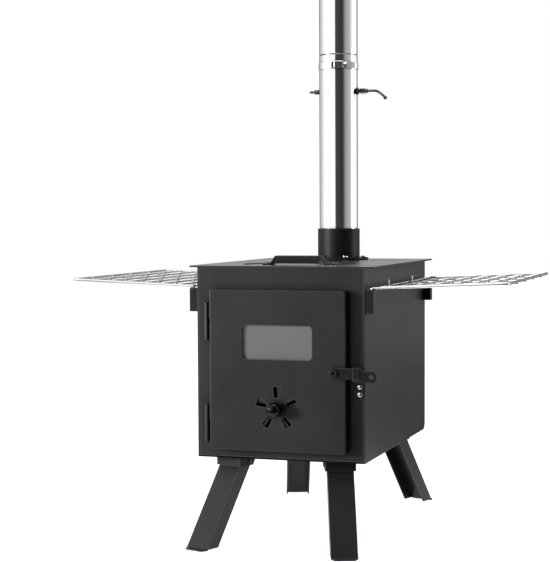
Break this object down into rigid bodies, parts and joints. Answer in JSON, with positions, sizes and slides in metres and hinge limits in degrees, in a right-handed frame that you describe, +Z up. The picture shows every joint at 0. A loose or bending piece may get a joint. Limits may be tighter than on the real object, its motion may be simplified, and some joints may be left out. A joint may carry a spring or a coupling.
{
  "type": "tent wood stove",
  "caption": "Folding wood-burning tent stove of black sheet steel with a glazed door, rotary air vent, cooking lid, side racks and a plug-together steel chimney with damper and spark arrestor.",
  "frame": {"origin": "on the ground, under the middle of the firebox", "axes": "+Z up, -Y towards the user (the door faces -Y), +X to the right seen from the front"},
  "size_m": [0.636, 0.4886, 1.1723],
  "materials": {
    "black_steel": "satin black heat paint",
    "black_casting": "semi-gloss black",
    "black_ball": "glossy black",
    "stainless": "bright polished stainless steel",
    "bright_wire": "bright plated wire",
    "zinc_steel": "bright plated",
    "graphite": "matte graphite sheet",
    "window_glass": "heat-resisting glass"
  },
  "bodies": {
    "firebox": {"side_panel_left": "black_steel", "side_panel_right": "black_steel", "back_and_floor_panel": "black_steel", "front_panel": "black_steel", "cooking_plate": "black_steel", "flue_gasket": "graphite", "flue_collar": "black_steel", "flue_bolt_1": "black_casting", "flue_bolt_2": "black_casting", "flue_bolt_3": "black_casting", "flue_bolt_4": "black_casting", "flue_bolt_5": "black_casting", "flue_bolt_6": "black_casting", "hinge_upper_body_half": "black_steel", "hinge_lower_body_half": "black_steel", "hinge_upper_pin": "zinc_steel", "hinge_lower_pin": "zinc_steel", "latch_keeper": "black_casting", "keeper_screw_1": "zinc_steel", "keeper_screw_2": "zinc_steel", "rack_bracket_front_left": "black_steel", "rack_bracket_front_right": "black_steel", "rack_bracket_rear_left": "black_steel", "rack_bracket_rear_right": "black_steel", "leg_bracket_front_left": "black_steel", "leg_bracket_front_right": "black_steel", "leg_bracket_rear_left": "black_steel", "leg_bracket_rear_right": "black_steel", "leg_pin_front_left": "zinc_steel", "leg_pin_front_right": "zinc_steel", "leg_pin_rear_left": "zinc_steel", "leg_pin_rear_right": "zinc_steel"},
    "door": {"door_panel": "black_steel", "window_glass": "window_glass", "window_retainer": "black_steel", "hinge_upper_door_half": "black_steel", "hinge_lower_door_half": "black_steel", "latch_pivot_bolt": "black_casting"},
    "vent": {"vent_disc": "black_steel", "vent_spindle": "zinc_steel", "vent_knob": "black_ball"},
    "latch": {"latch_lever": "black_casting"},
    "lid": {"cooking_lid": "black_steel", "lid_handle": "black_casting"},
    "rack_left": {"side_rack_left": "bright_wire"},
    "rack_right": {"side_rack_right": "bright_wire"},
    "lower_pipe": {"pipe_lower": "stainless", "clamp_band": "zinc_steel", "clamp_screw": "zinc_steel"},
    "damper": {"damper_plate": "stainless", "damper_rod": "zinc_steel", "damper_washer": "zinc_steel", "damper_spring": "zinc_steel"},
    "upper_pipe": {"pipe_upper": "stainless"},
    "arrestor": {"spark_arrestor": "stainless", "arrestor_ring": "stainless"},
    "front_left_leg": {"leg_front_left": "black_steel"},
    "front_right_leg": {"leg_front_right": "black_steel"},
    "rear_left_leg": {"leg_rear_left": "black_steel"},
    "rear_right_leg": {"leg_rear_right": "black_steel"}
  },
  "joints": [
    {"name": "door_swing", "type": "hinge", "parent": "firebox", "child": "door", "pos_m": [-0.105, -0.19, 0.2475], "axis": [0, 0, -1], "range_deg": [0, 150]},
    {"name": "vent_turn", "type": "hinge", "parent": "door", "child": "vent", "pos_m": [0, -0.199, 0.1955], "axis": [0, -1, 0], "continuous": true},
    {"name": "latch_lift", "type": "hinge", "parent": "door", "child": "latch", "pos_m": [0.0835, -0.2015, 0.2474], "axis": [0, -1, 0], "range_deg": [0, 110]},
    {"name": "lid_lift", "type": "slide", "parent": "firebox", "child": "lid", "axis": [0, 0, 1], "range_m": [0, 0.12]},
    {"name": "rack_left_lift", "type": "slide", "parent": "firebox", "child": "rack_left", "axis": [0, 0, 1], "range_m": [0, 0.022]},
    {"name": "rack_right_lift", "type": "slide", "parent": "firebox", "child": "rack_right", "axis": [0, 0, 1], "range_m": [0, 0.022]},
    {"name": "pipe_lower_lift", "type": "slide", "parent": "firebox", "child": "lower_pipe", "axis": [0, 0, 1], "range_m": [0, 0.055]},
    {"name": "damper_turn", "type": "hinge", "parent": "lower_pipe", "child": "damper", "pos_m": [0, 0.1157, 0.6533], "axis": [1, 0, 0], "continuous": true},
    {"name": "pipe_upper_lift", "type": "slide", "parent": "lower_pipe", "child": "upper_pipe", "axis": [0, 0, 1], "range_m": [0, 0.04]},
    {"name": "arrestor_lift", "type": "slide", "parent": "upper_pipe", "child": "arrestor", "axis": [0, 0, 1], "range_m": [0, 0.04]},
    {"name": "leg_front_left_fold", "type": "hinge", "parent": "firebox", "child": "front_left_leg", "pos_m": [-0.0748, -0.1455, 0.1145], "axis": [0.9397, -0.342, 0], "range_deg": [0, 118]},
    {"name": "leg_front_right_fold", "type": "hinge", "parent": "firebox", "child": "front_right_leg", "pos_m": [0.0748, -0.1455, 0.1145], "axis": [0.9397, 0.342, 0], "range_deg": [0, 118]},
    {"name": "leg_rear_left_fold", "type": "hinge", "parent": "firebox", "child": "rear_left_leg", "pos_m": [-0.0748, 0.1455, 0.1145], "axis": [-0.9397, -0.342, 0], "range_deg": [0, 118]},
    {"name": "leg_rear_right_fold", "type": "hinge", "parent": "firebox", "child": "rear_right_leg", "pos_m": [0.0748, 0.1455, 0.1145], "axis": [-0.9397, 0.342, 0], "range_deg": [0, 118]}
  ]
}
